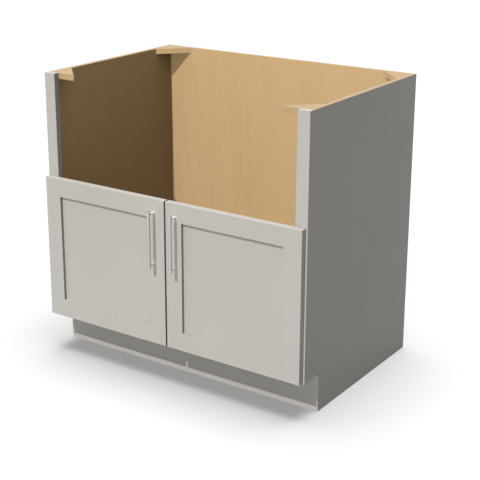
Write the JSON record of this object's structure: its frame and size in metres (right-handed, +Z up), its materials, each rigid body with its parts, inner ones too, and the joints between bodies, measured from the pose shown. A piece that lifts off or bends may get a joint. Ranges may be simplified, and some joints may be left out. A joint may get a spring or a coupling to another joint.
{
  "type": "sink base cabinet",
  "caption": "Face-frame sink base cabinet for an apron-front sink, open at the top and upper front, with recessed-panel doors on concealed hinges and bar pulls.",
  "frame": {"origin": "on the floor, in the middle of the box round the whole cabinet with its doors and pulls", "axes": "+X to the cabinet's right as someone stands in front of it, +Y from the doors to the wall, +Z up"},
  "size_m": [0.9144, 0.6612, 0.8763],
  "materials": {
    "painted_wood": "warm light grey satin paint on wood",
    "painted_side_panel": "plywood side, painted outside, clear-finished maple inside and on its edges",
    "maple": "clear satin finish on maple plywood",
    "brushed_nickel": "brushed nickel",
    "hinge_steel": "nickel-plated pressed steel",
    "screw_steel": "zinc-plated steel",
    "bumper_rubber": "pale soft plastic"
  },
  "bodies": {
    "cabinet": {"back_panel": "maple", "floor_panel": "maple", "toe_kick_board": "painted_wood", "frame_bottom_rail": "painted_wood", "frame_apron_rail": "painted_wood", "side_panel_left": "painted_side_panel", "frame_stile_left": "painted_wood", "corner_block_front_left": "maple", "corner_block_back_left": "maple", "hinge_arms_left": "hinge_steel", "hinge_arm_pins_left": "hinge_steel", "hinge_arm_screws_left": "screw_steel", "side_panel_right": "painted_side_panel", "frame_stile_right": "painted_wood", "corner_block_front_right": "maple", "corner_block_back_right": "maple", "hinge_arms_right": "hinge_steel", "hinge_arm_pins_right": "hinge_steel", "hinge_arm_screws_right": "screw_steel"},
    "hinge_links_left": {"hinge_links_left": "hinge_steel"},
    "door_left": {"door_hinge_stile_left": "painted_wood", "door_lock_stile_left": "painted_wood", "door_top_rail_left": "painted_wood", "door_bottom_rail_left": "painted_wood", "door_panel_left": "painted_wood", "door_bumpers_left": "bumper_rubber", "hinge_cups_left": "hinge_steel", "hinge_cup_pins_left": "hinge_steel", "hinge_cup_screws_left": "screw_steel", "pull_bar_left": "brushed_nickel", "pull_posts_left": "brushed_nickel", "pull_screws_left": "screw_steel"},
    "hinge_links_right": {"hinge_links_right": "hinge_steel"},
    "door_right": {"door_hinge_stile_right": "painted_wood", "door_lock_stile_right": "painted_wood", "door_top_rail_right": "painted_wood", "door_bottom_rail_right": "painted_wood", "door_panel_right": "painted_wood", "door_bumpers_right": "bumper_rubber", "hinge_cups_right": "hinge_steel", "hinge_cup_pins_right": "hinge_steel", "hinge_cup_screws_right": "screw_steel", "pull_bar_right": "brushed_nickel", "pull_posts_right": "brushed_nickel", "pull_screws_right": "screw_steel"}
  },
  "joints": [
    {"name": "hinge_link_swing_left", "type": "hinge", "parent": "cabinet", "child": "hinge_links_left", "pos_m": [-0.42, -0.28552, 0.33975], "axis": [0, 0, -1], "range_deg": [-56.6, 0]},
    {"name": "door_swing_left", "type": "hinge", "parent": "hinge_links_left", "child": "door_left", "pos_m": [-0.43899, -0.28478, 0.33975], "axis": [0, 0, -1], "range_deg": [0, 161.5]},
    {"name": "hinge_link_swing_right", "type": "hinge", "parent": "cabinet", "child": "hinge_links_right", "pos_m": [0.42, -0.28552, 0.33975], "axis": [0, 0, 1], "range_deg": [-56.6, 0]},
    {"name": "door_swing_right", "type": "hinge", "parent": "hinge_links_right", "child": "door_right", "pos_m": [0.43899, -0.28478, 0.33975], "axis": [0, 0, 1], "range_deg": [0, 161.5]}
  ],
  "couplings": [
    {"joint": "hinge_link_swing_left", "follows": "door_swing_left", "ratio": -0.35},
    {"joint": "hinge_link_swing_right", "follows": "door_swing_right", "ratio": -0.35}
  ]
}
